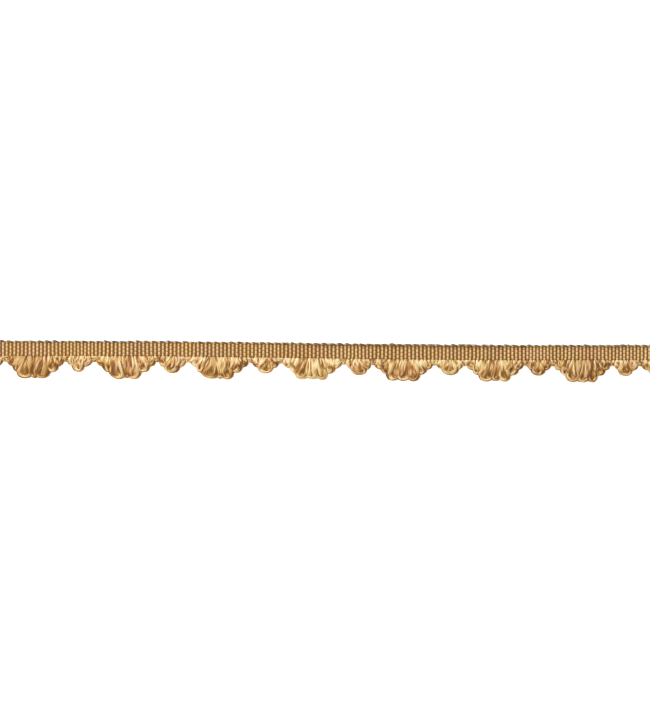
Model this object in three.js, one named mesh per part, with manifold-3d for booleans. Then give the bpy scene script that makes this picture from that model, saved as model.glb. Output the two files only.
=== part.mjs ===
// Fan edge trim: a cut length of furnishing trimming, lying face up and flat.
// Its heading is a woven braid with a weft rib raised across it every 2.5 mm. Below the braid the same
// floss hangs in loops, which grow and shrink to make large and small scalloped fans in turn, with one
// short link loop between each fan and the next.
// Millimetres. X runs along the trim, Y from the fans up to the braid's top edge, and Z up from the surface.
import * as THREE from "three";
import { mergeVertices } from "three/addons/utils/BufferGeometryUtils.js";
import Module from "manifold-3d";

const wasm = await Module();
wasm.setup();

// The braid
const HEADING_DEPTH = 10.7; // from its lower edge, at Y 0, to its top edge
const VALLEY_THICKNESS = 0.95; // between two ribs
const RIB_THICKNESS = 1.75; // at a rib's crown
const TOP_SCALLOP = 0.4; // rise of the top edge over every second rib

// A rib's profile along the trim, in shares of its pitch and of its rise above the valleys
const RIB_STEPS = [
  { place: 0, rise: 0 },
  { place: 0.27, rise: 1 },
  { place: 0.73, rise: 1 },
];

// The loops
const PIECE_GAP = 0.3; // between neighbours
const STRIP = { depth: 1.4, thickness: 1.2 }; // the narrow woven edge that holds a fan's roots
const LINK_REACH = 2.9; // the short loop between two fans
const ROOT_OVERLAP = 0.4; // how far below the strip's top edge a loop starts
const LOOP_THICKNESS = { root: 1.55, bulge: 0.95, tip_loss: 0.75 };
const LOOP_TOP_SHARE = 0.5; // a loop's width on top, as a share of its width on the surface
const LOOP_STATIONS = [0, 0.3, 0.6, 0.82, 0.94, 1]; // shares of a loop's reach
const ROUNDING = { from: 0.76, least: 0.4 }; // where a tip starts to round off, and its blunt end

// How the trim lies: its left end is higher than its right end, with a smooth run between
const LAY = { drop: 2.8, from_x: -167, to_x: 119 };

// A row for each loop of a fan, from the left: the ribs between its root and the link at the fan's left,
// its reach as a share of the longest loop's, and the lean of its two sides, in mm for each mm down.
const LARGE_LOOPS = [
  { at: 2, share: 0.43, left: -0.32, right: -0.22 },
  { at: 4, share: 0.68, left: -0.22, right: -0.33 },
  { at: 6, share: 0.98, left: -0.33, right: 0.06 },
  { at: 8, share: 0.93, left: 0.06, right: -0.07 },
  { at: 10, share: 1.0, left: -0.07, right: 0.2 },
  { at: 12, share: 0.68, left: 0.2, right: 0.25 },
  { at: 14, share: 0.43, left: 0.25, right: 0.2 },
];
const SMALL_LOOPS = [
  { at: 2, share: 0.6, left: -0.28, right: -0.38 },
  { at: 4, share: 1.0, left: -0.38, right: 0.2 },
  { at: 6, share: 0.64, left: 0.2, right: 0.2 },
];
const KINDS = {
  small: { ribs: 8, loops: SMALL_LOOPS },
  large: { ribs: 16, loops: LARGE_LOOPS },
};

// A row for each repeat, from the left: the length of its small and of its large fan from link to link,
// and the reach of the longest loop in each.
const REPEATS = [
  { small: 18.9, large: 39.7, small_reach: 10.0, large_reach: 14.6 },
  { small: 18.2, large: 41.0, small_reach: 10.0, large_reach: 14.8 },
  { small: 20.2, large: 40.3, small_reach: 10.5, large_reach: 14.5 },
  { small: 19.5, large: 41.0, small_reach: 9.9, large_reach: 13.9 },
  { small: 18.9, large: 40.3, small_reach: 10.3, large_reach: 14.0 },
  { small: 19.5, large: 39.7, small_reach: 9.4, large_reach: 13.9 },
  { small: 17.6, large: 38.4, small_reach: 9.7, large_reach: 14.4 },
  { small: 18.2, large: 39.0, small_reach: 9.9, large_reach: 14.2 },
];

const BRAID = new THREE.MeshStandardMaterial({ color: 0xad875a, roughness: 0.75, metalness: 0 });
const FLOSS = new THREE.MeshStandardMaterial({ color: 0xd2a15c, roughness: 0.5, metalness: 0 });

// The fans in a row, each with the rib number and the place of the link at its left.
function layOutFans() {
  const fans = [];
  const length = REPEATS.reduce((sum, repeat) => sum + repeat.small + repeat.large, 0);
  let rib = 0;
  let x = -length / 2;
  REPEATS.forEach((repeat, i) => {
    for (const kind of ["small", "large"]) {
      const name = `fan_${kind}_${i + 1}`;
      fans.push({ name, kind, rib, x, width: repeat[kind], reach: repeat[`${kind}_reach`] });
      rib += KINDS[kind].ribs;
      x += repeat[kind];
    }
  });
  return { fans, ribs: rib, length };
}

const { fans: FANS, ribs: RIBS, length: LENGTH } = layOutFans();

// X of a place counted in ribs from the trim's left end.
function ribX(count) {
  const fan = FANS.findLast((f) => f.rib <= count) ?? FANS[0];
  return fan.x + ((count - fan.rib) * fan.width) / KINDS[fan.kind].ribs;
}

// How far the trim is shifted in Y at x, as it lies.
function layShift(x) {
  const t = THREE.MathUtils.smoothstep(x, LAY.from_x, LAY.to_x);
  return LAY.drop * (0.5 - t);
}

function layDown(geometry) {
  const p = geometry.getAttribute("position");
  for (let i = 0; i < p.count; i += 1) p.setY(i, p.getY(i) + layShift(p.getX(i)));
  geometry.computeVertexNormals();
  return geometry;
}

// The braid: a section across it for each step of a rib, with a ridge for each rib. Its top edge rises in
// low scallops, each over the two ribs that one turn of the weft joins.
function makeHeading() {
  const rings = [];
  for (let rib = 0; rib < RIBS; rib += 1) {
    for (const step of RIB_STEPS) rings.push(headingSection(rib + step.place, step.rise));
  }
  rings.push(headingSection(RIBS, 0));
  return new THREE.Mesh(layDown(loft(rings)), BRAID);
}

function headingSection(count, rise) {
  const x = ribX(count);
  const z = THREE.MathUtils.lerp(VALLEY_THICKNESS, RIB_THICKNESS, rise);
  const wave = Math.abs(Math.sin((Math.PI * count) / 2));
  const top = HEADING_DEPTH - TOP_SCALLOP * (1 - wave);
  return [
    [x, 0, 0],
    [x, top, 0],
    [x, top, z],
    [x, 0, z],
  ];
}

function solidOf(geometry) {
  const bare = new THREE.BufferGeometry();
  bare.setAttribute("position", geometry.getAttribute("position"));
  bare.setIndex(geometry.index);
  const merged = mergeVertices(bare);
  return new wasm.Manifold(
    new wasm.Mesh({
      numProp: 3,
      vertProperties: merged.getAttribute("position").array,
      triVerts: new Uint32Array(merged.index.array),
    }),
  );
}

function geometryOf(solid) {
  const { vertProperties, triVerts } = solid.getMesh();
  const geometry = new THREE.BufferGeometry();
  geometry.setAttribute("position", new THREE.BufferAttribute(vertProperties, 3));
  geometry.setIndex(new THREE.BufferAttribute(triVerts, 1));
  return geometry;
}

// A closed solid through four-cornered rings, each a list of points in the same order.
function loft(rings) {
  const corners = rings[0].length;
  const index = [];
  for (let r = 0; r + 1 < rings.length; r += 1) {
    for (let c = 0; c < corners; c += 1) {
      const a = r * corners + c;
      const b = r * corners + ((c + 1) % corners);
      index.push(a, b, b + corners, a, b + corners, a + corners);
    }
  }
  const last = (rings.length - 1) * corners;
  for (let c = 1; c + 1 < corners; c += 1) {
    index.push(0, c + 1, c);
    index.push(last, last + c, last + c + 1);
  }
  const geometry = new THREE.BufferGeometry();
  geometry.setAttribute("position", new THREE.Float32BufferAttribute(rings.flat(2), 3));
  geometry.setIndex(index);
  return geometry;
}

// How much of its width a loop keeps at a share t of its reach: full, and then a round tip.
function tipWidth(t) {
  const u = Math.max(0, (t - ROUNDING.from) / (1 - ROUNDING.from));
  return Math.max(ROUNDING.least, Math.sqrt(1 - u * u));
}

function loopThickness(t) {
  const { root, bulge, tip_loss } = LOOP_THICKNESS;
  return root + bulge * Math.sin(Math.PI * t) - tip_loss * t * t * t;
}

// One loop of floss, flat underneath, swollen towards its tip and rounded off.
function makeLoop({ rootLeft, rootRight, left, right, reach }) {
  const top = PIECE_GAP + ROOT_OVERLAP;
  const rings = LOOP_STATIONS.map((t) => {
    const down = top + (reach - top) * t;
    const leftSide = rootLeft + left * down + PIECE_GAP / 2;
    const rightSide = rootRight + right * down - PIECE_GAP / 2;
    const middle = (leftSide + rightSide) / 2;
    const half = ((rightSide - leftSide) / 2) * tipWidth(t);
    const halfTop = half * LOOP_TOP_SHARE;
    const z = loopThickness(t);
    return [
      [middle - half, -down, 0],
      [middle + half, -down, 0],
      [middle + halfTop, -down, z],
      [middle - halfTop, -down, z],
    ];
  });
  return solidOf(loft(rings));
}

// The link loop at the right end of a fan leans in between its two neighbours' sides.
function linkOf(fan, next) {
  const own = KINDS[fan.kind];
  const after = KINDS[next.kind];
  return { at: own.ribs, reach: LINK_REACH, left: own.loops.at(-1).right, right: after.loops[0].left };
}

// The narrow edge that a fan hangs from, parted from its neighbours along the sides of their loops.
function makeStrip(fan, next) {
  const own = KINDS[fan.kind];
  const first = fan.rib === 0 ? { rib: 0, lean: 0 } : { rib: fan.rib + 1, lean: own.loops[0].left };
  const last = next
    ? { rib: fan.rib + own.ribs + 1, lean: KINDS[next.kind].loops[0].left }
    : { rib: fan.rib + own.ribs, lean: 0 };
  const top = PIECE_GAP;
  const bottom = PIECE_GAP + STRIP.depth;
  const from = ribX(first.rib) + PIECE_GAP / 2;
  const to = ribX(last.rib) - PIECE_GAP / 2;
  const outline = new THREE.Shape([
    new THREE.Vector2(from + first.lean * bottom, -bottom),
    new THREE.Vector2(to + last.lean * bottom, -bottom),
    new THREE.Vector2(to + last.lean * top, -top),
    new THREE.Vector2(from + first.lean * top, -top),
  ]);
  const edge = new THREE.ExtrudeGeometry(outline, { depth: STRIP.thickness, bevelEnabled: false });
  return solidOf(edge);
}

// A fan: its loops, fused at their roots into the narrow edge that they hang from.
function makeFan(fan, next) {
  const hanging = KINDS[fan.kind].loops.map((row) => ({ ...row, reach: row.share * fan.reach }));
  if (next) hanging.push(linkOf(fan, next));
  let solid = makeStrip(fan, next);
  for (const row of hanging) {
    const rootLeft = ribX(fan.rib + row.at - 1);
    const rootRight = ribX(fan.rib + row.at + 1);
    solid = solid.add(makeLoop({ ...row, rootLeft, rootRight }));
  }
  return new THREE.Mesh(layDown(geometryOf(solid)), FLOSS);
}

const trim = new THREE.Group();
trim.name = "fan_edge_trim";

const heading = makeHeading();
heading.name = "heading";
trim.add(heading);

FANS.forEach((fan, i) => {
  const mesh = makeFan(fan, FANS[i + 1]);
  mesh.name = fan.name;
  trim.add(mesh);
});

// The origin is the middle of the trim's footprint, on the surface that it lies on.
const footprint = new THREE.Box3().setFromObject(trim, true).getCenter(new THREE.Vector3());
trim.position.set(-footprint.x, -footprint.y, 0);

export default trim;
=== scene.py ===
"""A cut length of fan edge trim: a woven braid with looped fans of silky floss below it.

It lies face up, X along the trim and Y from the fans up to the braid's top edge. The trim's tables and sizes
are millimetres. The stage, the user's sizes and the finished pieces are metres.
"""

import math

import bmesh
import bpy
import numpy as np
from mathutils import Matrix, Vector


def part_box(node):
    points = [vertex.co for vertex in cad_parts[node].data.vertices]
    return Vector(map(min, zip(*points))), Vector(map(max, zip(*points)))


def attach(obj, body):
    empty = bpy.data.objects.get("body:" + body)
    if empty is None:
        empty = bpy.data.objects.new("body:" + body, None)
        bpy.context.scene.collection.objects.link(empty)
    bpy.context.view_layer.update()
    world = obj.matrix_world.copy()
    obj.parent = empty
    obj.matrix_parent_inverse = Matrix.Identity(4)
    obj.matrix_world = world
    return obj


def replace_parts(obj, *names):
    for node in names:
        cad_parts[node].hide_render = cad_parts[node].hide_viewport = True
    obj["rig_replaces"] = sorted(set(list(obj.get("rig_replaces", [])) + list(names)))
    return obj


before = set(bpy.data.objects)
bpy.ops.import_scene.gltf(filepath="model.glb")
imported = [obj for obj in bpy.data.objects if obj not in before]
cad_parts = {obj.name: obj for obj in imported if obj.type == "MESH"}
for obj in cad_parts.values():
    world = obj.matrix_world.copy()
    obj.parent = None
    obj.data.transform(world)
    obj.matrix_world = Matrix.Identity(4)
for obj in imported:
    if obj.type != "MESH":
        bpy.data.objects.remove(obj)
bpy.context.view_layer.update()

bl_info = {
    "name": "Fan Edge Trim",
    "version": (1, 0, 0),
    "blender": (4, 5, 0),
    "location": "3D View > Sidebar > Trim",
    "description": "Weaves a braid heading and hangs scalloped fans of floss loops from it",
    "category": "Object",
}

MM = 0.001
PATTERN_MAP = "OFBake"  # the UV map that a thread's colours can be stored on

# A row for each repeat, from the left: the length of its small and of its large fan from link to link,
# the reach of the longest loop in each, and how copper the floss of each is.
REPEATS = [
    dict(small=18.9, large=39.7, small_reach=10.0, large_reach=14.6, copper=(0.09, 0.3)),
    dict(small=18.2, large=41.0, small_reach=10.0, large_reach=14.8, copper=(-0.01, 0.17)),
    dict(small=20.2, large=40.3, small_reach=10.5, large_reach=14.5, copper=(0.07, 0.1)),
    dict(small=19.5, large=41.0, small_reach=9.9, large_reach=13.9, copper=(0.05, -0.13)),
    dict(small=18.9, large=40.3, small_reach=10.3, large_reach=14.0, copper=(0.14, 0.06)),
    dict(small=19.5, large=39.7, small_reach=9.4, large_reach=13.9, copper=(-0.06, 0.19)),
    dict(small=17.6, large=38.4, small_reach=9.7, large_reach=14.4, copper=(0.18, 0.19)),
    dict(small=18.2, large=39.0, small_reach=9.9, large_reach=14.2, copper=(0.13, 0.11)),
]

# From which rib to which the lobes of each repeat reach at their widest, in ribs from the link at their
# fan's left: the small fan's lobe, and the large fan's two.
LOBES = [
    dict(small=(1.55, 5.85), left=(3.0, 7.7), right=(7.5, 11.9)),
    dict(small=(1.3, 5.3), left=(3.6, 7.95), right=(8.3, 11.9)),
    dict(small=(1.55, 5.85), left=(3.1, 8.3), right=(8.1, 11.7)),
    dict(small=(1.75, 6.1), left=(3.4, 7.2), right=(8.8, 11.9)),
    dict(small=(1.75, 6.35), left=(3.5, 7.0), right=(8.7, 12.1)),
    dict(small=(1.7, 6.3), left=(3.4, 7.4), right=(8.5, 11.9)),
    dict(small=(1.5, 5.75), left=(3.3, 7.0), right=(8.9, 11.9)),
    dict(small=(1.65, 6.0), left=(3.4, 7.6), right=(8.1, 11.9)),
]
TUCK = 1.0  # how far, in ribs, the loops beside a lobe reach in under it

# The same for the sides of the other loops clear of the lobes
SMALL_SIDES = {"first": 0.5, "last": 7.4}
LARGE_SIDES = {"first": (0.45, 2.9), "second": 2.0, "sixth": 14.0, "last": (13.1, 15.4)}
LINK_HALF_WIDTH = 0.7

# A row for each loop of a fan, from the left: its root in ribs from the link at the fan's left, its reach as
# a share of the longest loop's, how far down it is widest as a share of its own reach, how high it lies in
# the pile, how much painted shade darkens its lower right, and how much lower its right side hangs than its
# left, in mm for each mm across. The width of its eye and how far right it lies are shares of half the loop's
# width.
LARGE_LOOPS = [
    dict(at=2, share=0.42, widest=0.56, layer=1.2, shade=0.15, skew=0.25, eye=0.03, eye_right=0.4),
    dict(at=4, share=0.67, widest=0.62, layer=2.2, shade=0.15, skew=0.4, eye=0.06, eye_right=0.4),
    dict(at=6, share=0.96, widest=0.7, layer=4.0, shade=0.12, skew=0.06, eye=0.19, eye_right=0.0),
    dict(at=8, share=0.94, widest=0.75, layer=2.6, shade=0.1, skew=0.0, eye=0.05, eye_right=0.0),
    dict(at=10, share=0.97, widest=0.7, layer=4.2, shade=0.25, skew=0.0, eye=0.19, eye_right=0.0),
    dict(at=12, share=0.67, widest=0.64, layer=2.2, shade=0.55, skew=-0.15, eye=0.07, eye_right=-0.4),
    dict(at=14, share=0.42, widest=0.56, layer=1.0, shade=0.55, skew=-0.25, eye=0.03, eye_right=-0.4),
]
SMALL_LOOPS = [
    dict(at=2, share=0.6, widest=0.56, layer=1.2, shade=0.15, skew=0.25, eye=0.03, eye_right=0.4),
    dict(at=4, share=0.98, widest=0.62, layer=2.8, shade=0.2, skew=0.0, eye=0.18, eye_right=0.0),
    dict(at=6, share=0.62, widest=0.58, layer=1.0, shade=0.55, skew=-0.25, eye=0.03, eye_right=-0.4),
]
LINK = dict(share=1.0, reach=3.3, widest=0.5, layer=0.0, shade=0.1, skew=0.0, eye=0.1, eye_right=0.0)
KINDS = {
    "small": {"ribs": 8, "loops": SMALL_LOOPS},
    "large": {"ribs": 16, "loops": LARGE_LOOPS},
}

# How the trim lies: its left end is higher than its right end, with a smooth run between
LAY = {"drop": 2.8, "from_x": -167.0, "to_x": 119.0}

HEADING_DEPTH = 10.7
RIB_HALF_WIDTH = 0.74
RIB_HALF_HEIGHT = 0.8
SWEEP = {"from_y": 2.6, "share": 0.5}  # the ribs bend a little towards the short loops at a fan's sides
WARP_FIRST_Y = 0.95
WARP_PITCH = 1.28
WARP_ENDS = 8
BRAID_MIDDLE_Z = 0.87
SOFT_Z = 0.25  # threads press flatter from this height down to the surface

# The camera looks straight down. One pixel of the picture covers this much of the floor.
PICTURE = {"width": 650, "height": 722}
MM_PER_PIXEL = 0.65
VIEW_MIDDLE = {"x": -8.45, "y": 0.3}


def lay_out_fans():
    """The fans in a row, each with the rib and the X of the link at its left."""
    fans = []
    x = -sum(row["small"] + row["large"] for row in REPEATS) / 2
    rib = 0
    for number, row in enumerate(REPEATS):
        for kind, copper in zip(("small", "large"), row["copper"]):
            fans.append({
                "node": f"fan_{kind}_{number + 1}",
                "kind": kind,
                "rib": rib,
                "x": x,
                "reach": row[f"{kind}_reach"],
                "copper": copper,
                "lobes": LOBES[number],
            })
            rib += KINDS[kind]["ribs"]
            x += row[kind]
    return fans, rib, x


FANS, RIBS, RIGHT_END = lay_out_fans()


def rib_x(count):
    """X, in mm, of a place counted in ribs from the left end."""
    starts = [fan["rib"] for fan in FANS] + [RIBS]
    places = [fan["x"] for fan in FANS] + [RIGHT_END]
    return np.interp(count, starts, places)


def smooth(t):
    """From 0 to 1 with an easy start and end."""
    t = np.clip(t, 0, 1)
    return t * t * (3 - 2 * t)


def fade(value, start, full):
    """From 0 to 1 as a value goes from start to full, which may be the lower one."""
    return smooth((value - start) / (full - start))


def between(low, high, share):
    """What lies at a share of the way from low to high."""
    return low + (high - low) * share


def lay_shift(x):
    """How far the trim is shifted in Y, in mm, at x."""
    return LAY["drop"] * (0.5 - fade(x, LAY["from_x"], LAY["to_x"]))


def braid_edge_y():
    """Y, in mm, of the braid's lower edge before the lay is added."""
    low, _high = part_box("heading")
    return low[1] / MM + LAY["drop"] / 2


EDGE_Y = braid_edge_y()


def laid_down(places):
    """Places in mm, with Y up from the braid's lower edge, as metres where the trim lies."""
    laid = np.array(places, dtype=float)
    laid[..., 1] += lay_shift(laid[..., 0]) + EDGE_Y
    return laid * MM


def points(x, y, z):
    """Places for (threads, rows), from arrays that may be shorter one way."""
    return np.stack(np.broadcast_arrays(x, y, z), axis=2)


def blend_between(stops, values, at):
    """Values read at `at` from a smooth curve through a table of stops and their values."""
    stops = np.asarray(stops, dtype=float)
    values = np.asarray(values, dtype=float)
    i = np.clip(np.searchsorted(stops, at, side="right") - 1, 0, len(stops) - 2)
    return between(values[i], values[i + 1], fade(at, stops[i], stops[i + 1]))


def feet_of(fan):
    """From which rib to which each loop of a fan reaches at its widest."""
    lobes = fan["lobes"]
    if fan["kind"] == "small":
        lobe = lobes["small"]
        return [(SMALL_SIDES["first"], lobe[0] + TUCK), lobe, (lobe[1] - TUCK, SMALL_SIDES["last"])]
    left, right = lobes["left"], lobes["right"]
    return [
        LARGE_SIDES["first"],
        (LARGE_SIDES["second"], left[0] + TUCK),
        left,
        (left[1] - TUCK, right[0] + TUCK),
        right,
        (right[1] - TUCK, LARGE_SIDES["sixth"]),
        LARGE_SIDES["last"],
    ]


def loops_of(number):
    """The loops of a fan and the link at its right, with their roots, edges and widest places as X in mm."""
    fan = FANS[number]
    kind = KINDS[fan["kind"]]
    rows = [dict(row, reach=row["share"] * fan["reach"]) for row in kind["loops"]]
    feet = feet_of(fan)
    if number + 1 < len(FANS):
        rows.append(dict(LINK, at=kind["ribs"]))
        feet.append((kind["ribs"] - LINK_HALF_WIDTH, kind["ribs"] + LINK_HALF_WIDTH))
    for row, foot in zip(rows, feet):
        count = fan["rib"] + row["at"]
        row["edges"] = rib_x(np.array([count - 1.0, count + 1.0]))
        row["feet"] = rib_x(fan["rib"] + np.array(foot))
        row["sweep"] = SWEEP["share"] * (1 - row["share"]) * (row["feet"] - row["edges"])
        row["roots"] = rib_x(np.array([count - 0.5, count + 0.5])) + row["sweep"]
        row["copper"] = fan["copper"]
    return rows


def rib_sweeps():
    """How far each rib's lower end is bent sideways, in mm."""
    sweeps = np.zeros((RIBS, 1))
    for number, fan in enumerate(FANS):
        for row in loops_of(number):
            end = fan["rib"] + row["at"]
            sweeps[end - 1:end + 1, 0] = row["sweep"]
    return sweeps


# Thread modelling

MAP_INSET = 0.01  # left free at each end of the map
STRIP_FILL = 0.4  # how far a thread's strip of the map reaches to either side of its middle


def straight_threads(name, count, rows, sides):
    """Closed straight tubes in one place, each of `rows` rings and with its own strip of the map."""
    bm = bmesh.new()
    bmesh.ops.create_cone(bm, cap_ends=True, segments=sides, radius1=1, radius2=1, depth=1)
    bmesh.ops.translate(bm, verts=bm.verts, vec=(0, 0, 0.5))
    lengthways = [e for e in bm.edges if abs(e.verts[0].co.z - e.verts[1].co.z) > 0.5]
    bmesh.ops.subdivide_edges(bm, edges=lengthways, cuts=rows - 2, use_grid_fill=True)
    uv = bm.loops.layers.uv.new(PATTERN_MAP)
    for corner in (loop for face in bm.faces for loop in face.loops):
        side, back, along = corner.vert.co
        u = between(MAP_INSET, 1 - MAP_INSET, along) + 0.5 * MAP_INSET * back
        corner[uv].uv = (u, (0.5 + STRIP_FILL * side) / count)
    one = bpy.data.meshes.new(f"{name}_one")
    bm.to_mesh(one)
    bm.free()
    holder = bpy.data.objects.new(f"{name}_one", one)
    bpy.context.collection.objects.link(holder)
    array = holder.modifiers.new("copies", "ARRAY")
    array.use_relative_offset = False
    array.count = count
    array.offset_v = 1 / count
    bpy.context.view_layer.update()
    evaluated = holder.evaluated_get(bpy.context.evaluated_depsgraph_get())
    mesh = bpy.data.meshes.new_from_object(evaluated)
    mesh.name = name
    bpy.data.objects.remove(holder)
    bpy.data.meshes.remove(one)
    return mesh


def settled(z):
    """Heights in mm, squeezed together where they would sink into the surface below."""
    return np.where(z < SOFT_Z, SOFT_Z * np.exp(z / SOFT_Z - 1), z)


def thread_mesh(name, sides, paths, half_width, half_height, tone, flute=0.0):
    """Threads along their own paths, as one mesh.

    paths is (threads, rows, 3) in mm. The sizes and the tone are for each thread and row, or for all. flute
    raises every second side of a thread by that share of its size and lowers the others.
    """
    threads, rows, _three = paths.shape
    half_width, half_height, tone = (
        np.broadcast_to(values, (threads, rows)) for values in (half_width, half_height, tone)
    )
    mesh = straight_threads(name, threads, rows, sides)
    ends = np.empty(len(mesh.vertices) * 3)
    mesh.vertices.foreach_get("co", ends)
    ends = ends.reshape(threads, -1, 3)[0]
    row = np.rint(ends[:, 2] * (rows - 1)).astype(int)
    angle = np.arctan2(ends[:, 1], ends[:, 0])
    ridge = 1 + flute * np.cos((angle - angle[0]) * sides / 2)
    centre = laid_down(paths)
    along = np.gradient(centre, axis=1)
    along /= np.linalg.norm(along, axis=2, keepdims=True)
    across = np.cross(along, (0.0, 0.0, 1.0))
    across /= np.linalg.norm(across, axis=2, keepdims=True)
    up = np.cross(along, across)
    wide = (half_width * MM)[:, row] * (np.cos(angle) * ridge)
    high = (half_height * MM)[:, row] * (np.sin(angle) * ridge)
    placed = centre[:, row] + wide[..., None] * across[:, row] + high[..., None] * up[:, row]
    placed[..., 2] = settled(placed[..., 2] / MM) * MM
    mesh.vertices.foreach_set("co", placed.ravel())
    shade = mesh.attributes.new("tone", "FLOAT", "POINT")
    shade.data.foreach_set("value", np.ascontiguousarray(tone[:, row]).ravel())
    mesh.shade_smooth()
    mesh.update()
    return mesh


def add_piece(mesh, material, slot, *nodes):
    """Puts a finished mesh in the scene as a piece of its name that stands for these nodes."""
    piece = bpy.data.objects.new(mesh.name, mesh)
    bpy.context.collection.objects.link(piece)
    mesh.materials.append(material)
    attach(piece, "root")
    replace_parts(piece, *nodes)
    return piece


# Shading

# What the dye's unevenness multiplies a colour by, olive to rosy, each after its place on the noise
TINTS = [(0.36, (0.99, 1.005, 0.93)), (0.5, (1.0, 0.99, 1.01)), (0.64, (1.01, 0.97, 1.06))]

# How fine each noise is along X, Y and Z, in cells for each metre
NOISES = {
    "dye": (70.0, 50.0, 50.0),
    "streaks": (900.0,) * 3,
    "depth": (400.0,) * 3,
    "silk": (5000.0,) * 3,
    "filaments": (5200.0, 300.0, 2600.0),
    "patches": (60.0, 90.0, 60.0),
    "fibres": (3000.0,) * 3,
    "highlight_patches": (180.0,) * 3,
    "ground": (2400.0,) * 3,
    "floor": (40.0,) * 3,
}

# The banded patterns: which way they run, the share of each axis in them, how fine and how wavy they are
BANDS = {
    "twist": {"direction": "DIAGONAL", "axes": (1.0, 0.8, 0.6), "scale": 1400.0, "distortion": 0.6},
    "weave": {"direction": "Y", "axes": (0.0, 1.0, 0.0), "scale": 780.0, "distortion": 1.0},
}


def opaque(dye):
    return (*dye, 1.0)


class Wire:
    """A value in a material, which Python's own operators turn into Math nodes."""

    def __init__(self, look, socket):
        self.look = look
        self.socket = socket

    def math(self, operation, *values):
        return self.look.node("ShaderNodeMath", {"operation": operation}, dict(enumerate(values)))

    def __add__(self, other):
        return self.math("ADD", self, other)

    def __sub__(self, other):
        return self.math("SUBTRACT", self, other)

    def __rsub__(self, other):
        return self.math("SUBTRACT", other, self)

    def __mul__(self, other):
        return self.math("MULTIPLY", self, other)

    __radd__ = __add__
    __rmul__ = __mul__


class Look:
    """A material in the making."""

    def __init__(self, name):
        self.material = bpy.data.materials.new(name)
        self.material.use_nodes = True
        self.tree = self.material.node_tree
        self.shader = self.tree.nodes["Principled BSDF"]

    def node(self, kind, settings=None, inputs=None, output=0):
        """Adds a node with its settings first and then its sockets, and gives back one of its outputs."""
        node = self.tree.nodes.new(kind)
        for key, value in (settings or {}).items():
            if key == "stops":
                self.set_stops(node.color_ramp, value)
            else:
                setattr(node, key, value)
        for key, value in (inputs or {}).items():
            self.feed(node.inputs[key], value)
        return Wire(self, node.outputs[output])

    @staticmethod
    def set_stops(ramp, stops):
        while len(ramp.elements) < len(stops):
            ramp.elements.new(1.0)
        for element, (place, dye) in zip(ramp.elements, stops):
            element.position = place
            element.color = opaque(dye)

    def feed(self, socket, value):
        if isinstance(value, Wire):
            self.tree.links.new(value.socket, socket)
        else:
            socket.default_value = value

    def tone(self):
        return self.node("ShaderNodeAttribute", {"attribute_name": "tone"}, output="Fac")

    def places(self, scale):
        """Object coordinates, stretched by a scale for each axis."""
        here = self.node("ShaderNodeTexCoord", output="Object")
        return self.node("ShaderNodeMapping", {}, {"Vector": here, "Scale": scale})

    def noise(self, name, detail=2.0):
        """One of the noises of the table above."""
        settings = {"noise_dimensions": "3D"}
        sockets = {"Vector": self.places(NOISES[name]), "Scale": 1.0, "Detail": detail}
        return self.node("ShaderNodeTexNoise", settings, sockets)

    def bands(self, name):
        """One of the banded patterns of the table above."""
        pattern = BANDS[name]
        settings = {"wave_type": "BANDS", "bands_direction": pattern["direction"]}
        sockets = {
            "Vector": self.places(pattern["axes"]),
            "Scale": pattern["scale"],
            "Distortion": pattern["distortion"],
        }
        return self.node("ShaderNodeTexWave", settings, sockets)

    def ramp(self, value, stops):
        return self.node("ShaderNodeValToRGB", {"stops": stops}, {"Fac": value})

    def mixed(self, factor, a, b):
        """The colour a where the factor is 0, and b where it is 1."""
        settings = {"data_type": "RGBA", "clamp_factor": True}
        return self.node("ShaderNodeMix", settings, {"Factor": factor, "A": a, "B": b}, output="Result")

    def times(self, dye, other):
        settings = {"data_type": "RGBA", "blend_type": "MULTIPLY"}
        return self.node("ShaderNodeMix", settings, {"Factor": 1.0, "A": dye, "B": other}, output="Result")

    def shaded(self, dye, brightness):
        """A colour, made lighter or darker by a value about 1."""
        sockets = {"Red": brightness, "Green": brightness, "Blue": brightness}
        return self.times(dye, self.node("ShaderNodeCombineColor", {}, sockets))

    def tints(self):
        """The dye's unevenness. It is the same in a rib as in the loop that the rib goes on into."""
        return self.ramp(self.noise("dye"), TINTS)

    def bump(self, height, distance):
        sockets = {"Height": height, "Distance": distance, "Strength": 1.0}
        return self.node("ShaderNodeBump", {}, sockets)

    def finish(self, **sockets):
        for name, value in sockets.items():
            self.feed(self.shader.inputs[name.replace("_", " ")], value)
        return self.material


def floss_look(settings):
    """Silky unspun floss, from straw through gold to copper by its tone."""
    look = Look("silky_floss")
    streaks = look.noise("streaks", 3.0)
    # The tone carries painted shade at the eyes, outlines and lower right of the loops and painted highlight
    # on their rims and below the braid, besides the yarns' own colours
    tone = look.tone() + 0.08 * (streaks - 0.5)
    stops = [(0.0, settings.straw), (0.4, settings.gold), (0.7, settings.amber), (1.0, settings.copper)]
    dye = look.times(look.ramp(tone, stops), look.tints())
    return look.finish(
        Base_Color=look.shaded(dye, between(0.88, 1.12, look.noise("depth"))),
        Roughness=between(0.34, 0.54, streaks),
        Specular_IOR_Level=0.4,
        Normal=look.bump(look.noise("silk"), 0.00003),
    )


def rib_look(settings):
    """The same floss where it is drawn tight into a rib, with its filaments running across the braid."""
    look = Look("ribbed_floss")
    filaments = look.noise("filaments", 3.0)
    # The tone carries the painted shade of the pinches as well as the floss's own batches and russet tops, so
    # rib_deep serves both
    tone = look.tone() + 0.22 * (filaments - 0.5) + 0.2 * (look.noise("patches") - 0.5)
    dye = look.mixed(tone, opaque(settings.rib_light), opaque(settings.rib_deep))
    return look.finish(
        Base_Color=look.times(dye, look.tints()),
        Roughness=between(0.42, 0.62, filaments),
        Specular_IOR_Level=0.3,
        Normal=look.bump(filaments, 0.0001),
    )


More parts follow.
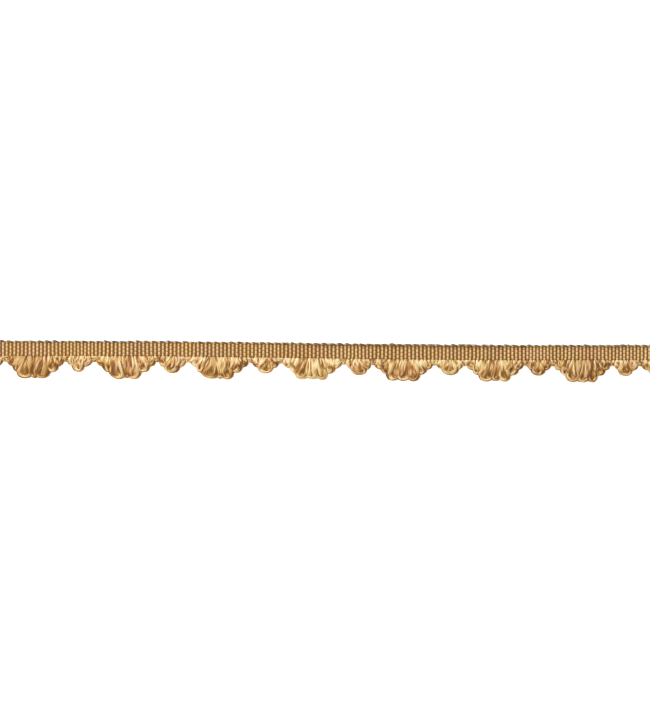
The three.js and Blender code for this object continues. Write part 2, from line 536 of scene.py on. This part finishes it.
def warp_look(name, dark, highlight):
    """Fine spun thread, with its twist as slanting bands and random patches of painted highlight."""
    look = Look(name)
    twist = look.bands("twist")
    fibres = look.noise("fibres")
    # The lighter brown that the random patches reach is a painted highlight
    dye = look.ramp(look.noise("highlight_patches"), [(0.3, dark), (0.75, highlight)])
    return look.finish(
        Base_Color=look.shaded(dye, 0.55 + 0.5 * twist + 0.4 * fibres),
        Roughness=between(0.6, 0.8, fibres),
        Specular_IOR_Level=0.15,
        Normal=look.bump(twist, 0.00006),
    )


def web_look(settings):
    """The ground of the braid, dark where it shows between the ribs. Its dark brown is partly the braid's own
    ground and partly painted shade for the gaps between the ribs.
    """
    look = Look("dark_ground")
    lines = look.bands("weave")
    fibres = look.noise("ground")
    dye = look.ramp(fibres, [(0.2, settings.ground), (0.9, settings.warp_dark)])
    return look.finish(
        Base_Color=look.shaded(dye, 0.6 + 0.5 * lines + 0.3 * fibres),
        Roughness=between(0.75, 0.9, fibres),
        Specular_IOR_Level=0.1,
        Normal=look.bump(lines, 0.0001),
    )


def floor_look(settings):
    look = Look("pale_floor")
    return look.finish(
        Base_Color=look.shaded(opaque(settings.floor), between(0.99, 1.0, look.noise("floor"))),
        Roughness=0.9,
        Specular_IOR_Level=0.1,
    )


# What a user would change

def number(label, description, default, least=0.0, **more):
    return bpy.props.FloatProperty(name=label, description=description, default=default, min=least, **more)


def length(label, description, default):
    return number(label, description, default, unit="LENGTH", subtype="DISTANCE", precision=5)


def colour(label, description, default):
    return bpy.props.FloatVectorProperty(
        name=label, description=description, default=default, min=0.0, max=1.0, size=3, subtype="COLOR"
    )


class FANTRIM_PG_braid(bpy.types.PropertyGroup):
    """The woven heading"""

    warp_radius: length("Warp radius", "Radius of a warp end", 0.17 * MM)
    rib_light: colour("Rib light", "The lightest floss of the ribs", (0.53, 0.344, 0.168))
    rib_deep: colour("Rib deep", "The darkest floss of the ribs", (0.18, 0.08, 0.014))
    warp_dark: colour("Warp dark", "The brown of the warp ends", (0.18, 0.09, 0.016))
    # The warp ends' lighter brown, laid in random patches, is a painted highlight
    warp_painted_highlight: colour("Warp worn", "The warp ends where they catch the light", (0.32, 0.18, 0.054))
    # The ground's dark brown is partly the braid's own and partly painted shade in the gaps between the ribs
    ground: colour("Ground", "The braid's ground between the ribs", (0.13, 0.058, 0.006))
    edge_dark: colour("Edge", "The brown thread of the top edge", (0.092, 0.044, 0.009))
    # The edge thread's lighter brown, laid in random patches, is a painted highlight
    edge_painted_highlight: colour("Edge worn", "The same thread where it catches the light", (0.2, 0.105, 0.032))


class FANTRIM_PG_fans(bpy.types.PropertyGroup):
    """The looped fans"""

    strand_spacing: length("Strand spacing", "From one strand to the next where a loop is widest", 0.2 * MM)
    strand_radius: length("Strand radius", "Radius of a strand of floss", 0.15 * MM)
    seed: bpy.props.IntProperty(name="Seed", description="Sets the floss's unevenness", default=7, min=0)
    straw: colour("Straw", "The palest floss", (0.665, 0.525, 0.29))
    gold: colour("Gold", "The main floss", (0.492, 0.31, 0.112))
    amber: colour("Amber", "The floss in a loop's shade", (0.325, 0.138, 0.019))
    copper: colour("Copper", "The deepest floss", (0.152, 0.055, 0.007))


class FANTRIM_PG_stage(bpy.types.PropertyGroup):
    """Floor, light and camera"""

    floor: colour("Floor", "Colour of the floor", (0.96, 0.94, 0.91))
    key_power: number("Key light", "Power of the main light", 74.0, unit="POWER", subtype="POWER")
    fill: number("Fill", "Strength of the light from all round", 0.7)
    lens: number("Lens", "Focal length in millimetres", 100.0, least=10.0, unit="CAMERA")


# The braid

class FANTRIM_OT_ribs(bpy.types.Operator):
    """Lays the weft ribs across the braid, pinched by each warp end and turned in pairs at the top"""

    bl_idname = "fantrim.ribs"
    bl_label = "Weft Ribs"

    SEED = 11
    ROWS = 30
    SIDES = 10
    FLUTE = 0.04
    BOTTOM_Y = -0.15
    TOP_Y = 9.95
    LEAN = 0.06  # how far the ribs stray from upright, in mm
    SWELL = 0.04  # how unevenly thick they are

    # Places along a rib, from its lower end up, and how far it turns to its partner there, in mm, how far it
    # dives, in mm, and how full it is
    TURN = ([0.86, 1], [0, 0.35])
    DIVE = ([0, 0.1, 0.88, 1], [0.25, 0, 0, 0.45])
    FULLNESS = ([0, 0.14, 0.93, 1], [0.6, 1, 1, 0.6])

    # How far down a warp end presses the rib that it passes in front of, the share of the rib that it pinches
    # off, and how far along the rib it is felt. Behind a rib it does the given share of this.
    PRESS = 0.17
    PINCH = 0.2
    GRIP = 0.4
    BEHIND = {"press": -0.6, "pinch": 0.25}
    PINCH_ACROSS = 0.4  # the share of a pinch that shows in the rib's width

    # The ribs' tone, how it varies between batches of ribs and between ribs, and how much darker a pinch is
    # made, as painted shade in the crease that the warp end presses.
    # Their tops turn russet between two heights, by so much at each of these ribs.
    TONE = {"middle": 0.1, "batch": 0.02, "rib": 0.02, "pinched": 3.3}
    BATCH = 7
    RUSSET_Y = (6.5, 8.8)
    RUSSET = ([0, 76, 92, 128, 150, 192], [0, 0, 0.4, 0.4, 0.26, 0.22])

    def execute(self, context):
        braid = context.scene.fantrim_braid
        rng = np.random.default_rng(self.SEED)
        rib = np.arange(RIBS)[:, None]
        t = np.linspace(0, 1, self.ROWS)[None, :]
        y = between(self.BOTTOM_Y, self.TOP_Y, t)
        lean = rng.normal(0, self.LEAN, (RIBS, 1)) * (y - HEADING_DEPTH / 2) / HEADING_DEPTH
        turn = np.where(rib % 2 == 0, 1, -1) * blend_between(*self.TURN, t)
        sweep = rib_sweeps() * smooth(1 - y / SWEEP["from_y"])
        press, pinch = self.gripped(rib, y)
        z = BRAID_MIDDLE_Z - blend_between(*self.DIVE, t) - press
        fullness = blend_between(*self.FULLNESS, t)
        swell = 1 + rng.normal(0, self.SWELL, (RIBS, 1))
        half_width = RIB_HALF_WIDTH * fullness * swell * (1 - self.PINCH_ACROSS * pinch)
        half_height = RIB_HALF_HEIGHT * fullness * (1 - pinch)
        tone = self.tones(rng, rib, y, pinch)
        paths = points(rib_x(rib + 0.5) + lean + turn + sweep, y, z)
        mesh = thread_mesh("braid_ribs", self.SIDES, paths, half_width, half_height, tone, self.FLUTE)
        add_piece(mesh, rib_look(braid), "braid", "heading")
        return {"FINISHED"}

    def gripped(self, rib, y):
        """How far the warp ends press each rib down, in mm, and the share of it that they pinch off."""
        press = np.zeros((RIBS, self.ROWS))
        pinch = np.zeros((RIBS, self.ROWS))
        for end in range(WARP_ENDS):
            felt = np.exp(-(((y - WARP_FIRST_Y - end * WARP_PITCH) / self.GRIP) ** 2))
            in_front = (rib + end) % 2 == 0
            press += self.PRESS * felt * np.where(in_front, 1, self.BEHIND["press"])
            pinch += self.PINCH * felt * np.where(in_front, 1, self.BEHIND["pinch"])
        return press, pinch

    def tones(self, rng, rib, y, pinch):
        """Darker where a rib is pinched, as painted shade, and russet at the top of the ribs in the middle of
        the trim.
        """
        steps = rng.normal(0, self.TONE["batch"], RIBS + self.BATCH - 1)
        batch = np.convolve(steps, np.ones(self.BATCH), "valid")[:, None]
        one_rib = rng.normal(0, self.TONE["rib"], (RIBS, 1))
        russet = fade(y, *self.RUSSET_Y) * blend_between(*self.RUSSET, rib)
        return self.TONE["middle"] + batch + one_rib + self.TONE["pinched"] * pinch + russet


class FANTRIM_OT_warp(bpy.types.Operator):
    """Weaves the fine brown warp ends over and under the ribs"""

    bl_idname = "fantrim.warp"
    bl_label = "Warp Ends"

    SEED = 23
    STEPS_PER_RIB = 4
    SIDES = 5
    SWING = 0.62  # above and below the braid's middle
    SLOW_WAVER = {"mm": 0.05, "ribs_per_radian": 9}
    QUICK_WAVER = {"mm": 0.03, "ribs_per_radian": 2.3}

    def execute(self, context):
        braid = context.scene.fantrim_braid
        rng = np.random.default_rng(self.SEED)
        slow, quick = self.SLOW_WAVER, self.QUICK_WAVER
        end = np.arange(WARP_ENDS)[:, None]
        count = np.linspace(0, RIBS, RIBS * self.STEPS_PER_RIB + 1)[None, :]
        phase = rng.uniform(0, 2 * math.pi, (WARP_ENDS, 1))
        y = WARP_FIRST_Y + end * WARP_PITCH
        y = y + slow["mm"] * np.sin(count / slow["ribs_per_radian"] + phase)
        y = y + quick["mm"] * np.sin(count / quick["ribs_per_radian"] + 2 * phase)
        z = BRAID_MIDDLE_Z + self.SWING * np.cos(math.pi * (count - 0.5 - end))
        radius = braid.warp_radius / MM
        mesh = thread_mesh("warp_ends", self.SIDES, points(rib_x(count), y, z), radius, radius, 0.0)
        look = warp_look("brown_warp", braid.warp_dark, braid.warp_painted_highlight)
        add_piece(mesh, look, "braid", "heading")
        return {"FINISHED"}


class FANTRIM_OT_edge(bpy.types.Operator):
    """Sews the top edge with a thick brown stitch over each two ribs and a pale end behind, with its fuzz"""

    bl_idname = "fantrim.edge"
    bl_label = "Top Edge"

    SIDES = 8

    # A stitch: how far to the right of its two ribs it lies and what it leaves free of them at each end, in
    # ribs, how far it slants, bows and dips at its ends, and its radius, which tapers to a share at the ends,
    # grows from left to right and is flattened in height
    STITCH = {
        "seed": 41, "rows": 13, "shift": 0.14, "free": 0.42, "y": 9.58, "z": 1.35, "slant": 0.5, "bow": 0.12,
        "dip": 0.6, "radius": 0.84, "taper": 0.45, "taper_power": 0.6, "growth": (0.85, 1.15), "flat": 0.8,
    }
    UNEVEN = {"free": 0.08, "slant": 0.25, "y": 0.12, "radius": 0.1}
    OPENNESS = ([0, 84, 100, 124, 146, 192], [1, 1, 0.7, 0.7, 0.8, 0.8])  # of the stitches, rib by rib
    PALE = {"y": 9.85, "z": 0.85, "wave": 0.25, "radius": 0.26, "steps_per_rib": 6, "tone": 0.25}
    FUZZ = {
        "seed": 31, "count": 280, "rows": 9, "sides": 3, "width": (1.4, 4.4), "rise": (0.1, 0.9),
        "roundness": 0.7, "from_y": 10.1, "z": 0.9, "climb": 0.4, "radius": 0.07, "tone": (0, 0.8),
    }

    def execute(self, context):
        braid = context.scene.fantrim_braid
        brown = warp_look("brown_edge", braid.edge_dark, braid.edge_painted_highlight)
        add_piece(self.stitches(), brown, "braid", "heading")
        pale = rib_look(braid)
        add_piece(self.pale_end(), pale, "braid", "heading")
        add_piece(self.fuzz(), pale, "braid", "heading")
        return {"FINISHED"}

    def stitches(self):
        """A short thick stitch over each two ribs. It slants down to the right, and both its ends dive in."""
        size, uneven = self.STITCH, self.UNEVEN
        rng = np.random.default_rng(size["seed"])
        first = 2.0 * np.arange(RIBS // 2)[:, None]
        shape = first.shape
        t = np.linspace(0, 1, size["rows"])[None, :]
        crown = np.sin(math.pi * t)
        free = size["free"] * blend_between(*self.OPENNESS, first)
        free = free + rng.normal(0, uneven["free"], shape)
        x = rib_x(first + size["shift"] + free + 2 * (1 - free) * t)
        slant = size["slant"] * (1 + rng.normal(0, uneven["slant"], shape))
        y = size["y"] - slant * (2 * t - 1) + size["bow"] * (crown - 0.5)
        y = y + rng.normal(0, uneven["y"], shape)
        z = size["z"] - size["dip"] * (1 - crown) ** 2
        taper = between(size["taper"], 1, crown ** size["taper_power"])
        growth = between(*size["growth"], t) * (1 + rng.normal(0, uneven["radius"], shape))
        radius = size["radius"] * taper * growth
        return thread_mesh("edge_stitches", self.SIDES, points(x, y, z), radius, radius * size["flat"], 0.0)

    def pale_end(self):
        """The end that runs along behind the stitches and shows in the gaps between them."""
        size = self.PALE
        count = np.linspace(0, RIBS, RIBS * size["steps_per_rib"] + 1)[None, :]
        y = size["y"] - size["wave"] * np.cos(math.pi * count)
        paths = points(rib_x(count), y, size["z"])
        return thread_mesh("edge_pale", self.SIDES, paths, size["radius"], size["radius"], size["tone"])

    def fuzz(self):
        """Fine filaments that stand off the top edge in low arches."""
        size = self.FUZZ
        rng = np.random.default_rng(size["seed"])
        shape = (size["count"], 1)
        t = np.linspace(0, 1, size["rows"])[None, :]
        place = rng.uniform(1, RIBS - 1, shape)
        x = rib_x(place) + rng.uniform(*size["width"], shape) * (t - 0.5)
        arch = np.sin(math.pi * t) ** size["roundness"]
        y = size["from_y"] + rng.uniform(*size["rise"], shape) * arch
        z = size["z"] + rng.uniform(-size["climb"], size["climb"], shape) * np.cos(math.pi * t)
        tone = rng.uniform(*size["tone"], shape)
        return thread_mesh("edge_fuzz", size["sides"], points(x, y, z), size["radius"], size["radius"], tone)


class FANTRIM_OT_web(bpy.types.Operator):
    """Makes the braid's ground, a thin cloth that closes the gaps between the ribs, its dark brown partly its
    own and partly painted shade
    """

    bl_idname = "fantrim.web"
    bl_label = "Braid Ground"

    LOW_Y = 0.35
    HIGH_Y = 9.6
    MIDDLE_Z = 0.66
    HALF_THICKNESS = 0.2
    ACROSS = 6

    def execute(self, context):
        braid = context.scene.fantrim_braid
        bm = bmesh.new()
        bmesh.ops.create_grid(bm, x_segments=RIBS, y_segments=self.ACROSS, size=0.5, calc_uvs=False)
        bmesh.ops.solidify(bm, geom=bm.faces[:], thickness=2 * self.HALF_THICKNESS)
        flat = np.array([vert.co[:] for vert in bm.verts])
        x = rib_x((flat[:, 0] + 0.5) * RIBS)
        y = between(self.LOW_Y, self.HIGH_Y, flat[:, 1] + 0.5)
        z = self.MIDDLE_Z + self.HALF_THICKNESS * np.sign(flat[:, 2] - flat[:, 2].mean())
        for vert, place in zip(bm.verts, laid_down(np.stack([x, y, z], axis=1))):
            vert.co = place
        bmesh.ops.recalc_face_normals(bm, faces=bm.faces)
        mesh = bpy.data.meshes.new("braid_ground")
        bm.to_mesh(mesh)
        bm.free()
        web = add_piece(mesh, web_look(braid), "braid", "heading")
        flat_size = (HEADING_DEPTH * MM, (RIGHT_END - FANS[0]["x"]) * MM)
        return {"FINISHED"}


# The fans

LEG_ROWS = 7
ARC_ROWS = 11
LOOP_ROWS = 2 * LEG_ROWS + ARC_ROWS

START_Y = 0.4  # a loop's strands start this far inside the braid, as the continuation of a rib
SPREAD_FROM_Y = 0.35
SPREAD_BY = 0.75  # and this far below it the two legs have spread to fill the loop's root
ROW_CROWDING = 0.85  # a leg's rows lie a little closer together towards its widest place
BELLY = 0.5  # how round a loop's sides are
EYE_OPENS_AT = 0.55  # the share of the way to the widest place where the legs part
LEG_OVERLAP = 0.45
LEAN_KEPT = 0.35  # the share of its sides' lean that a loop's tip keeps
ROLLED_BY = 0.5  # the share of a loop's reach where it is rolled in full
RIM = 0.6  # the floss round the tip, as a share of the drop below the widest place
# Long loops get a painted ring at their tips, painted shade round the eye and a painted highlight on the rim;
# short loops get less of it
RINGED = {"least": 0.2, "from_reach": 4.5, "to_reach": 9.5}  # long loops show rings at their tips
PILE = {
    "down": [0, 0.25, 0.55, 0.85, 1],
    "z": [0.87, 1.05, 1.12, 0.86, 0.6],
    "layer": [0, 0.09, 0.15, 0.11, 0.05],
}
THICKNESS = ([0, 0.12, 0.3, 0.7, 1], [1.5, 1.35, 1.3, 1.3, 0.95])  # at shares of the way down
OUTWARD = np.array([-1.0, 1.0])

# How far the loops stray from the table, and the ranges that its shares are drawn from
SPREADS = {"feet": 0.2, "reach": 0.012, "eye_right": 0.14, "roll": 0.28, "lean": 0.1, "copper": 0.07}
RANGES = {"eye": (0.3, 1.05), "twist": (0.3, 0.8), "rim": (0.4, 1.6)}


class Loop:
    """One loop of floss, from the lower end of one rib round to the next rib."""

    def __init__(self, row, rng):
        self.roots, self.edges = row["roots"], row["edges"]
        self.feet = row["feet"] + rng.normal(0, SPREADS["feet"], 2)
        self.reach = row["reach"] * (1 + rng.normal(0, SPREADS["reach"]))
        self.widest = row["widest"] * self.reach
        self.half = (self.feet[1] - self.feet[0]) / 2
        self.eye = row["eye"] * self.half * rng.uniform(*RANGES["eye"])
        self.eye_off_centre = self.half * (row["eye_right"] + rng.normal(0, SPREADS["eye_right"]))
        self.roll = rng.normal(0, SPREADS["roll"])
        lean = (self.feet - self.edges).mean() / self.widest
        self.lean = LEAN_KEPT * lean + rng.normal(0, SPREADS["lean"])
        self.twist = rng.choice([-1, 1]) * rng.uniform(*RANGES["twist"])  # turns from end to end
        self.layer = row["layer"]
        self.skew = row["skew"]
        self.shade = row["shade"]
        self.copper = row["copper"] + rng.normal(0, SPREADS["copper"])
        # How strongly this loop's tip gets its painted ring of shade round the eye and highlight on the rim
        how_long = fade(self.reach, RINGED["from_reach"], RINGED["to_reach"])
        self.ringed = between(RINGED["least"], 1, how_long)
        self.rim = self.ringed * rng.uniform(*RANGES["rim"])

    @staticmethod
    def from_rib(down, bound, free):
        """Keeps the strands as narrow as their rib inside the braid, and lets them spread below it."""
        return between(bound, free, fade(down[:, None], -SPREAD_FROM_Y, SPREAD_BY))

    def legs(self, down):
        """X of the outer and inner sides of the left and right legs, at depths below the braid."""
        t = np.clip(down / self.widest, 0, 1)[:, None]
        sides = between(self.edges, self.feet, t + BELLY * t * (1 - t))
        parted = fade(t, EYE_OPENS_AT, 1)
        centre = sides.mean(axis=1, keepdims=True) + self.eye_off_centre * parted
        inner = centre + OUTWARD * between(-LEG_OVERLAP, self.eye, parted)
        outer = self.from_rib(down, self.roots + OUTWARD * RIB_HALF_WIDTH, sides)
        return outer, self.from_rib(down, self.roots - OUTWARD * RIB_HALF_WIDTH, inner)

    def arc(self, centre, half, drop):
        """A turn at the tip, as X and the depth below the braid."""
        theta = np.linspace(0, math.pi, ARC_ROWS)
        below = drop * np.sin(theta)
        return centre - half * np.cos(theta) + self.lean * below, self.widest + below

    @staticmethod
    def course(legs, tip):
        """Down the left leg, round the tip and up the right leg."""
        return np.concatenate([legs[:, 0], tip, legs[::-1, 1]])

    def turned(self, around):
        """Where strands lie in the loop's flattened section as it twists: how far inward, and whether on top.

        around counts turns round the section at the tip, and inward is 0 on the outline and 1 at the eye.
        """
        here = (around[:, None] + self.twist * np.linspace(-0.5, 0.5, LOOP_ROWS)) % 1
        return 1 - np.abs(1 - 2 * here), np.where(here < 0.5, 1.0, -1.0)

    def paths(self, inward, up):
        """Strand paths. inward and up are for each strand and row, and up is from -1 to 1."""
        rows = np.linspace(0, 1, LEG_ROWS + 1)[:-1] ** ROW_CROWDING
        down = between(-START_Y, self.widest, rows)
        outer, inner = self.legs(down)
        drop = self.reach - self.widest
        centre = self.feet.mean()
        tip_x, tip_down = self.arc(centre, self.half, drop)
        eye_x, eye_down = self.arc(centre + self.eye_off_centre, self.eye, drop * (1 - RIM))
        down = np.stack([down, down], axis=1)
        x = between(self.course(outer, tip_x), self.course(inner, eye_x), inward)
        depth = between(self.course(down, tip_down), self.course(down, eye_down), inward)
        share = np.clip((depth + START_Y) / (self.reach + START_Y), 0, 1)
        lift = self.layer * blend_between(PILE["down"], PILE["layer"], share)
        to_the_right = -np.cos(np.linspace(0, math.pi, LOOP_ROWS))
        tilt = self.roll * to_the_right * fade(share, 0, ROLLED_BY)
        z = blend_between(PILE["down"], PILE["z"], share) + lift + tilt
        thick = blend_between(*THICKNESS, share)
        depth = depth + self.skew * (x - centre) * fade(depth, 0, self.widest)
        return points(x, -depth, z + up * thick / 2)


class FANTRIM_OT_fans(bpy.types.Operator):
    """Hangs the fans, each a row of floss loops that grow and shrink, with a short link to the next fan"""

    bl_idname = "fantrim.fans"
    bl_label = "Floss Fans"

    SIDES = 3
    LEAST_LEG = 1.2  # the least width that a leg's strands are counted for
    SQUARENESS = 3  # how square a flattened leg is across its width
    YARN_WIDTH = 1.0
    YARN_RIDGE = 0.2  # how far a yarn's middle stands out, as a share of the loop's thickness

    # How far a yarn strays along X and Z, and how far a strand does, in mm
    HEAVE = {0: 0.12, 2: 0.24}
    WAVER = {0: 0.08, 2: 0.056}
    WAVES = (0.6, 2.2)  # on the way from one end to the other
    LOOSENESS = 0.7

    # The yarns' tones with their shares, the places on a yarn where its tone can change, and how far single
    # strands differ in tone and size
    TONES = {"tone": [0.0, 0.2, 0.46, 0.76, 1.0], "share": [0.27, 0.25, 0.19, 0.16, 0.13]}
    KNOTS = 9
    STRAND_TONE = 0.045
    STRAND_SIZE = (0.8, 1.2)
    # The strands that close the eye lie in two layers and get a deeper amber tone, painted shade for the
    # eye's hollow
    EYE_FILL = {"layers": (0.15, -0.4), "tone": 0.6, "size": 1.3}

    # Places on the way from one end of a strand to the other, and how far round them a tone is felt. Beside
    # the eye is counted from the tip to both sides. Near the braid the tone starts at the first place and is
    # full at the second.
    TIP = (0.5, 0.16)
    LOWER_RIGHT = (0.64, 0.12)
    BESIDE_EYE = (0.2, 0.1)
    NEAR_BRAID = (0.18, 0.04)

    # Across a loop, from its outline at 0 to its eye at 1: where each band of painted shade and painted
    # highlight starts and is full
    ACROSS = {
        "eye": (0.55, 0.95),
        "rim": (0.08, 0.23),
        "inside_rim": (0.8, 0.4),
        "outline": (0.14, 0.02),
        "shade": (0.45, 0.05),
    }

    # How much painted shade deepens the floss at the eye, beside it, along the outline and at the lower
    # right, and how much painted highlight pales it on the rim and just below the braid
    PAINTED_SHADE = {"eye": 0.46, "shade_beside_eye": 0.15, "outline": 0.26, "shade": 1.6}
    PAINTED_HIGHLIGHT = {"rim": 0.42, "shoulder_highlight": 0.14}

    def execute(self, context):
        settings = context.scene.fantrim_fans
        look = floss_look(settings)
        for number, fan in enumerate(FANS):
            rng = np.random.default_rng(settings.seed * 100 + number)
            parts = [self.loop_threads(Loop(row, rng), settings, rng) for row in loops_of(number)]
            paths, radius, tone = (np.concatenate(part) for part in zip(*parts))
            mesh = thread_mesh(fan["node"] + "_loops", self.SIDES, paths, radius, radius, tone)
            add_piece(mesh, look, "floss", fan["node"])
        return {"FINISHED"}

    def loop_threads(self, loop, settings, rng):
        """Paths, radii and tones of one loop's strands: those round its section, and those behind its eye."""
        leg_width = max(loop.half - loop.eye, self.LEAST_LEG)
        count = round(2 * leg_width / settings.strand_spacing * MM)
        around = (np.arange(count) + 0.5) / count
        inward, side = loop.turned(around)
        yarns = round(2 * leg_width / self.YARN_WIDTH)
        yarn = np.floor(around * yarns).astype(int)
        ridge = np.sin(math.pi * (around * yarns - yarn))[:, None]
        up = side * self.rounded(inward) * between(1 - self.YARN_RIDGE, 1, ridge)
        fill, fill_up = self.in_the_eye(loop, settings)
        paths = loop.paths(np.concatenate([inward, fill]), np.concatenate([up, fill_up]))
        s = np.linspace(0, 1, LOOP_ROWS)[None, :]
        free = np.sin(math.pi * s) ** self.LOOSENESS
        for axis, size in self.HEAVE.items():
            paths[:count, :, axis] += size * (free * self.waves(rng, yarns, s))[yarn]
        for axis, size in self.WAVER.items():
            paths[..., axis] += size * free * self.waves(rng, len(paths), s)
        # The deeper tone of the strands behind the eye is painted shade
        fill_tone = np.full_like(fill, self.EYE_FILL["tone"])
        tone = np.concatenate([self.tones(loop, rng, inward, yarn, s), fill_tone])
        tone = tone + rng.normal(0, self.STRAND_TONE, (len(paths), 1)) + loop.copper
        radius = settings.strand_radius / MM * rng.uniform(*self.STRAND_SIZE, (len(paths), 1))
        radius[count:] *= self.EYE_FILL["size"]
        return paths, radius, np.clip(tone, 0, 1)

    def in_the_eye(self, loop, settings):
        """How far inward and how high the strands lie that close the eye, in two layers to its middle."""
        across = loop.eye / (loop.half - loop.eye)
        count = 1 + math.ceil(loop.eye / settings.strand_spacing * MM)
        nested = 1 + across * (np.arange(count) + 0.5) / count
        inward = np.tile(nested, 2)[:, None] + np.zeros((1, LOOP_ROWS))
        up = np.repeat(self.EYE_FILL["layers"], count)[:, None] + np.zeros_like(inward)
        return inward, up

    def rounded(self, inward):
        """The height of a flattened leg across its width."""
        return (1 - np.abs(2 * inward - 1) ** self.SQUARENESS) ** (1 / self.SQUARENESS)

    def waves(self, rng, count, s):
        phase = rng.uniform(0, 2 * math.pi, (count, 1))
        return np.sin(2 * math.pi * rng.uniform(*self.WAVES, (count, 1)) * s + phase)

    @staticmethod
    def felt(s, place, spread):
        """1 at a place and less round it."""
        return np.exp(-(((s - place) / spread) ** 2))

    def tones(self, loop, rng, inward, yarn, s):
        """Each yarn changes tone along its way. Painted highlight makes it palest below the braid, painted
        shade deepest at the eye.
        """
        knots = rng.choice(self.TONES["tone"], (yarn[-1] + 1, self.KNOTS), p=self.TONES["share"])
        places = np.linspace(0, 1, self.KNOTS)
        along = np.stack([blend_between(places, row, s[0]) for row in knots])[yarn]
        at_tip = self.felt(s, *self.TIP)
        at_lower_right = self.felt(s, *self.LOWER_RIGHT)
        shade_beside_eye = self.felt(np.abs(s - self.TIP[0]), *self.BESIDE_EYE)
        shoulder_highlight = fade(np.minimum(s, 1 - s), *self.NEAR_BRAID)
        band = {name: fade(inward, *ends) for name, ends in self.ACROSS.items()}
        painted_shade, painted_highlight = self.PAINTED_SHADE, self.PAINTED_HIGHLIGHT
        # Painted shade round the eye, along the outline at the tip and at the lower right; painted highlight
        # on the rim
        eye = loop.ringed * (painted_shade["eye"] * band["eye"] * at_tip + painted_shade["shade_beside_eye"] * shade_beside_eye)
        outline = painted_shade["outline"] * band["outline"] * at_tip
        shade = painted_shade["shade"] * loop.shade * band["shade"] * at_lower_right
        rim = painted_highlight["rim"] * loop.rim * band["rim"] * band["inside_rim"] * at_tip
        return along + eye + outline + shade - rim - painted_highlight["shoulder_highlight"] * shoulder_highlight


# The stage

class FANTRIM_OT_stage(bpy.types.Operator):
    """Sets the pale floor, the soft light from the upper left and the camera straight above"""

    bl_idname = "fantrim.stage"
    bl_label = "Stage"

    FLOOR_SIDE = 6.0
    KEY_PLACE = (-0.9, 0.8, 1.5)
    KEY_SIDE = 1.8
    FULL_SENSOR = 36.0

    def execute(self, context):
        settings = context.scene.fantrim_stage
        self.make_floor(settings)
        self.make_light(context, settings)
        self.make_camera(context, settings)
        context.scene.view_settings.view_transform = "Standard"
        return {"FINISHED"}

    def make_floor(self, settings):
        bm = bmesh.new()
        bmesh.ops.create_grid(bm, x_segments=1, y_segments=1, size=self.FLOOR_SIDE / 2)
        mesh = bpy.data.meshes.new("floor")
        bm.to_mesh(mesh)
        bm.free()
        floor = bpy.data.objects.new("floor", mesh)
        bpy.context.collection.objects.link(floor)
        mesh.materials.append(floor_look(settings))
        floor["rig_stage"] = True

    def make_light(self, context, settings):
        light = bpy.data.lights.new("key", "AREA")
        light.energy = settings.key_power
        light.size = self.KEY_SIDE
        key = bpy.data.objects.new("key", light)
        key.location = self.KEY_PLACE
        key.rotation_euler = (-key.location).to_track_quat("-Z", "Y").to_euler()
        context.collection.objects.link(key)
        world = bpy.data.worlds.new("soft_room")
        world.use_nodes = True
        background = world.node_tree.nodes["Background"]
        background.inputs["Color"].default_value = (1.0, 1.0, 1.0, 1.0)
        background.inputs["Strength"].default_value = settings.fill
        context.scene.world = world

    def make_camera(self, context, settings):
        data = bpy.data.cameras.new("camera")
        data.lens = settings.lens
        data.sensor_width = self.FULL_SENSOR
        camera = bpy.data.objects.new("camera", data)
        tall = PICTURE["height"] * MM_PER_PIXEL * MM
        distance = tall * settings.lens / self.FULL_SENSOR
        camera.location = (VIEW_MIDDLE["x"] * MM, VIEW_MIDDLE["y"] * MM, distance)
        context.collection.objects.link(camera)
        context.scene.camera = camera


class FANTRIM_PT_panel(bpy.types.Panel):
    """Lists the trim's sizes and pieces"""

    bl_idname = "FANTRIM_PT_panel"
    bl_label = "Fan Edge Trim"
    bl_space_type = "VIEW_3D"
    bl_region_type = "UI"
    bl_category = "Trim"

    def draw(self, context):
        groups = (
            (context.scene.fantrim_braid, ("fantrim.ribs", "fantrim.warp", "fantrim.edge")),
            (context.scene.fantrim_fans, ("fantrim.fans", "fantrim.web")),
            (context.scene.fantrim_stage, ("fantrim.stage",)),
        )
        for group, operators in groups:
            box = self.layout.box()
            for name in group.__annotations__:
                box.prop(group, name)
            for operator in operators:
                box.operator(operator)


GROUPS = {
    "fantrim_braid": FANTRIM_PG_braid,
    "fantrim_fans": FANTRIM_PG_fans,
    "fantrim_stage": FANTRIM_PG_stage,
}
OPERATORS = (
    FANTRIM_OT_ribs,
    FANTRIM_OT_warp,
    FANTRIM_OT_edge,
    FANTRIM_OT_fans,
    FANTRIM_OT_web,
    FANTRIM_OT_stage,
)


def register():
    for cls in (*GROUPS.values(), *OPERATORS, FANTRIM_PT_panel):
        bpy.utils.register_class(cls)
    for name, group in GROUPS.items():
        setattr(bpy.types.Scene, name, bpy.props.PointerProperty(type=group))


def unregister():
    for name in GROUPS:
        delattr(bpy.types.Scene, name)
    for cls in (FANTRIM_PT_panel, *reversed(OPERATORS), *reversed(GROUPS.values())):
        bpy.utils.unregister_class(cls)


def main():
    register()
    bpy.ops.fantrim.ribs()
    bpy.ops.fantrim.warp()
    bpy.ops.fantrim.edge()
    bpy.ops.fantrim.fans()
    bpy.ops.fantrim.web()
    bpy.ops.fantrim.stage()


if __name__ == "__main__":
    main()
